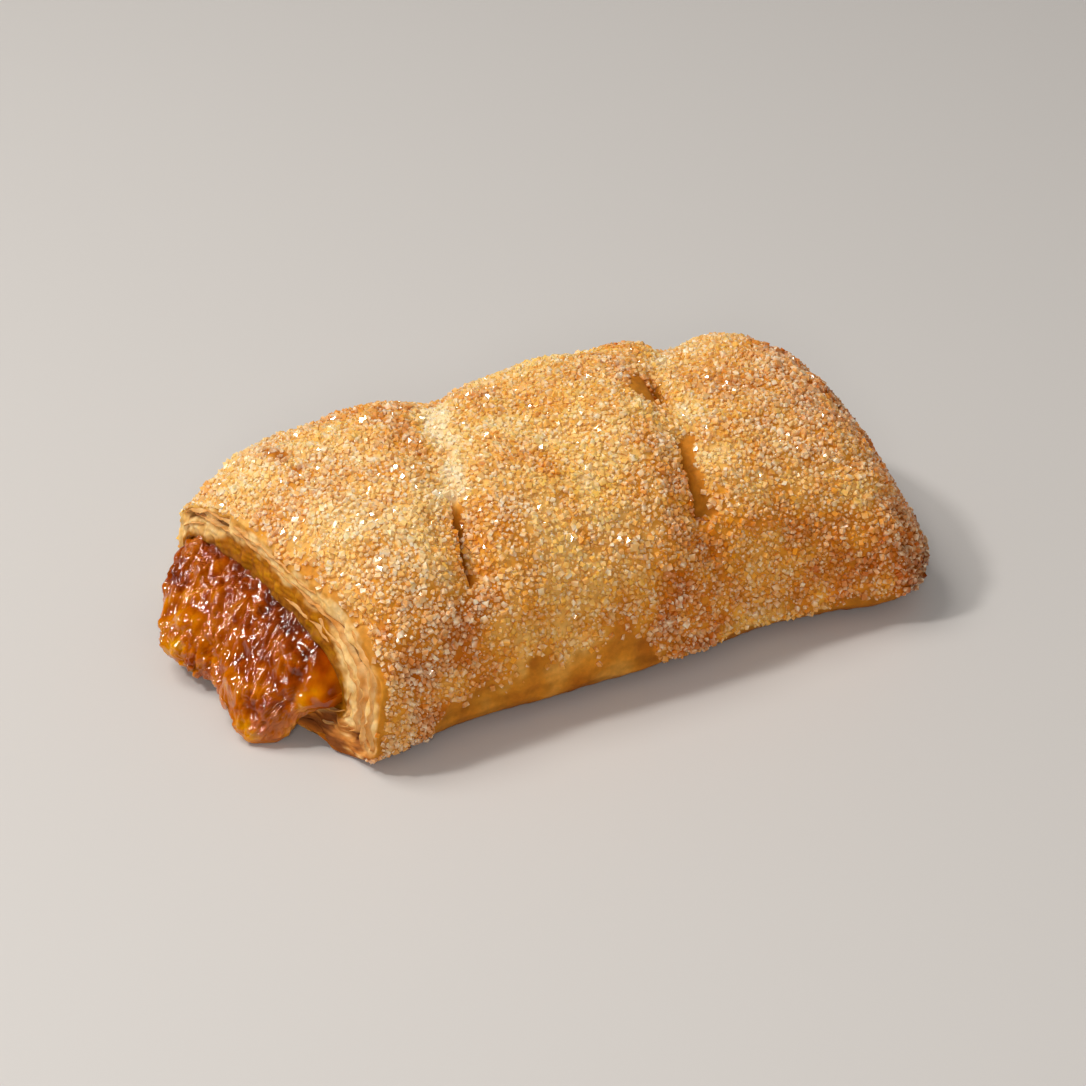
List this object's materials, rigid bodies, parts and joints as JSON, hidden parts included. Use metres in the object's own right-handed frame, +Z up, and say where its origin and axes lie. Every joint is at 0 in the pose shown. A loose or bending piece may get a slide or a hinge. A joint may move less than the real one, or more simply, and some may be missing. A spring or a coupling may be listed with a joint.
{
  "type": "sugared puff pastry turnover",
  "caption": "Baked rectangular puff pastry turnover with vents across its sugared top, open at one end, where a shiny fruit jelly filling runs out.",
  "frame": {"origin": "middle of the object's bounding box in plan, on the surface that it lies on", "axes": "+X runs along the pastry from the open mouth to the closed end, +Y to the back, +Z up"},
  "size_m": [0.1518, 0.0841, 0.0441],
  "materials": {
    "crust": "matte",
    "filling": "gloss"
  },
  "bodies": {
    "root": {"crust": "crust", "filling": "filling"}
  },
  "joints": []
}
